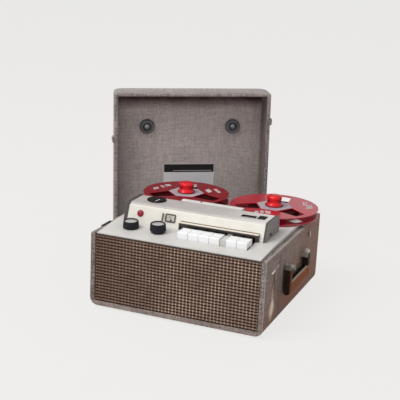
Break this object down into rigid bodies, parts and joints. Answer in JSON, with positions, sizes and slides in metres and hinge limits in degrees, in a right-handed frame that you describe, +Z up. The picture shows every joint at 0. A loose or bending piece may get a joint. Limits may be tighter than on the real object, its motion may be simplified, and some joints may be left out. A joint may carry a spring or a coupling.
{
  "type": "reel-to-reel tape recorder",
  "caption": "Portable reel-to-reel tape recorder in a cloth-covered case with piano keys, folding handle and its lift-off lid standing behind it.",
  "frame": {"origin": "middle of the frame of runners the case stands on, on the floor", "axes": "+X to the handle side, +Y from the keys to the rear, +Z up"},
  "size_m": [0.3707, 0.4088, 0.2527],
  "materials": {
    "case_cloth": "woven cloth glued over wood",
    "lid_cloth": "woven cloth glued over wood",
    "grille_weave": "coarse woven grille",
    "board": "hardboard",
    "deck_paint": "satin light grey",
    "cover_paint": "satin cream",
    "cheek_plastic": "matte dark grey",
    "steel": "turned steel",
    "zinc": "zinc plated",
    "motor_iron": "grey cast",
    "bronze": "sintered bronze",
    "rubber": "moulded rubber",
    "magnetic_tape": "oxide coated film",
    "lamp_red": "red lens",
    "clear_window": "clear",
    "meter_cream": "cream scale",
    "black_plastic": "black",
    "key_white": "white",
    "frame_grey": "grey",
    "knob_black": "blue black with a bright disc",
    "reel_red": "translucent red",
    "cap_red": "glossy red",
    "board_resin": "resin board",
    "valve_glass": "clear glass",
    "iron_core": "lacquered core",
    "handle_metal": "dark",
    "grip_brown": "brown grip",
    "bright_steel": "plated",
    "card": "printed card, left bare"
  },
  "bodies": {
    "case": {"case_shell": "case_cloth", "rear_panel": "board", "grille_baffle": "board", "grille_cloth": "grille_weave", "speaker": "motor_iron", "deck_plate": "deck_paint", "deck_screws": "bright_steel", "chassis": "zinc", "motor": "motor_iron", "shaft_bushes": "bronze", "head_cover": "cover_paint", "end_cheeks": "cheek_plastic", "head_shield": "cover_paint", "head_block": "steel", "tape_web": "magnetic_tape", "lamp_lens": "lamp_red", "meter_case": "meter_cream", "meter_window": "clear_window", "potentiometers": "zinc", "key_frame": "frame_grey", "counter_frame": "frame_grey", "amplifier_board": "board_resin", "valves": "valve_glass", "transformers": "iron_core", "rear_sockets": "black_plastic", "base_runners": "rubber", "handle_posts": "bright_steel", "latch_keepers": "bright_steel", "wall_pad": "rubber", "drive_belts": "rubber"},
    "supply": {"supply_turntable": "steel", "supply_reel": "reel_red", "supply_tape": "magnetic_tape", "supply_cap": "cap_red"},
    "takeup": {"takeup_turntable": "steel", "takeup_reel": "reel_red", "takeup_tape": "magnetic_tape", "takeup_cap": "cap_red"},
    "flywheel": {"capstan_flywheel": "steel"},
    "motor_rotor": {"motor_pulley": "bronze"},
    "pinch_lever": {"pinch_arm": "steel"},
    "pinch_wheel": {"pinch_roller": "rubber"},
    "volume": {"volume_knob": "knob_black"},
    "tone": {"tone_knob": "knob_black"},
    "selector": {"selector_disc": "black_plastic"},
    "needle": {"meter_needle": "black_plastic"},
    "counter": {"counter_drums": "black_plastic"},
    "reset": {"counter_reset": "black_plastic"},
    "handle": {"handle_bail": "handle_metal", "handle_grip": "grip_brown"},
    "lid": {"lid_shell": "lid_cloth", "lid_bumpers": "rubber", "label_card": "card", "lid_catches": "bright_steel"},
    "rewind_lever": {"rewind_key": "key_white"},
    "stop_lever": {"stop_key": "key_white"},
    "play_lever": {"play_key": "key_white"},
    "forward_lever": {"forward_key": "key_white"},
    "pause_lever": {"pause_key": "key_white"},
    "record_lever": {"record_key": "key_white"}
  },
  "joints": [
    {"name": "supply_spin", "type": "hinge", "parent": "case", "child": "supply", "pos_m": [-0.0685, 0.071, 0.11], "axis": [0, 0, 1], "continuous": true},
    {"name": "takeup_spin", "type": "hinge", "parent": "case", "child": "takeup", "pos_m": [0.0685, 0.071, 0.11], "axis": [0, 0, 1], "continuous": true},
    {"name": "capstan_spin", "type": "hinge", "parent": "case", "child": "flywheel", "pos_m": [0.034, -0.0003, 0.097], "axis": [0, 0, 1], "continuous": true},
    {"name": "motor_spin", "type": "hinge", "parent": "case", "child": "motor_rotor", "pos_m": [-0.02, 0.07, 0.097], "axis": [0, 0, 1], "continuous": true},
    {"name": "pinch_swing", "type": "hinge", "parent": "case", "child": "pinch_lever", "pos_m": [0.01, -0.0181, 0.11], "axis": [0, 0, 1], "range_deg": [0, 10]},
    {"name": "pinch_roll", "type": "hinge", "parent": "pinch_lever", "child": "pinch_wheel", "pos_m": [0.03489, -0.01518, 0.116], "axis": [0, 0, 1], "continuous": true},
    {"name": "volume_turn", "type": "hinge", "parent": "case", "child": "volume", "pos_m": [-0.082, -0.088, 0.10847], "axis": [0, -0.0637, 0.998], "range_deg": [-135, 135]},
    {"name": "tone_turn", "type": "hinge", "parent": "case", "child": "tone", "pos_m": [-0.042, -0.088, 0.10847], "axis": [0, -0.0637, 0.998], "range_deg": [-135, 135]},
    {"name": "selector_turn", "type": "hinge", "parent": "case", "child": "selector", "pos_m": [-0.0715, -0.029, 0.134], "axis": [0, 0, 1], "range_deg": [-45, 45]},
    {"name": "needle_swing", "type": "hinge", "parent": "case", "child": "needle", "pos_m": [-0.039, -0.05132, 0.11531], "axis": [0, -0.9397, 0.342], "range_deg": [-60, 0], "stiffness_Nm_per_rad": 0.00003, "springref_deg": 11.46},
    {"name": "counter_spin", "type": "hinge", "parent": "case", "child": "counter", "pos_m": [0.0675, -0.036, 0.1245], "axis": [1, 0, 0], "continuous": true},
    {"name": "reset_press", "type": "slide", "parent": "case", "child": "reset", "axis": [0, 0, -1], "range_m": [0, 0.002], "stiffness_N_per_m": 300, "springref_m": -0.002},
    {"name": "rewind_press", "type": "hinge", "parent": "case", "child": "rewind_lever", "pos_m": [0, -0.034, 0.113], "axis": [1, 0, 0], "range_deg": [0, 7], "stiffness_Nm_per_rad": 0.5, "springref_deg": -5.73},
    {"name": "stop_press", "type": "hinge", "parent": "case", "child": "stop_lever", "pos_m": [0, -0.034, 0.113], "axis": [1, 0, 0], "range_deg": [0, 7], "stiffness_Nm_per_rad": 0.5, "springref_deg": -5.73},
    {"name": "play_press", "type": "hinge", "parent": "case", "child": "play_lever", "pos_m": [0, -0.034, 0.113], "axis": [1, 0, 0], "range_deg": [0, 7], "stiffness_Nm_per_rad": 0.5, "springref_deg": -5.73},
    {"name": "forward_press", "type": "hinge", "parent": "case", "child": "forward_lever", "pos_m": [0, -0.034, 0.113], "axis": [1, 0, 0], "range_deg": [0, 7], "stiffness_Nm_per_rad": 0.5, "springref_deg": -5.73},
    {"name": "pause_press", "type": "hinge", "parent": "case", "child": "pause_lever", "pos_m": [0, -0.034, 0.113], "axis": [1, 0, 0], "range_deg": [0, 7], "stiffness_Nm_per_rad": 0.5, "springref_deg": -5.73},
    {"name": "record_press", "type": "hinge", "parent": "case", "child": "record_lever", "pos_m": [0, -0.034, 0.113], "axis": [1, 0, 0], "range_deg": [0, 7], "stiffness_Nm_per_rad": 0.5, "springref_deg": -5.73},
    {"name": "handle_fold", "type": "hinge", "parent": "case", "child": "handle", "pos_m": [0.1305, -0.004, 0.0725], "axis": [0, -1, 0], "range_deg": [0, 100]},
    {"name": "lid_lift", "type": "slide", "parent": "case", "child": "lid", "axis": [0, 0, 1], "range_m": [0, 0.3]}
  ],
  "couplings": [
    {"joint": "motor_spin", "follows": "capstan_spin", "ratio": 6},
    {"joint": "counter_spin", "follows": "takeup_spin", "ratio": 0.1},
    {"joint": "pinch_swing", "follows": "play_press", "ratio": 1.428}
  ]
}
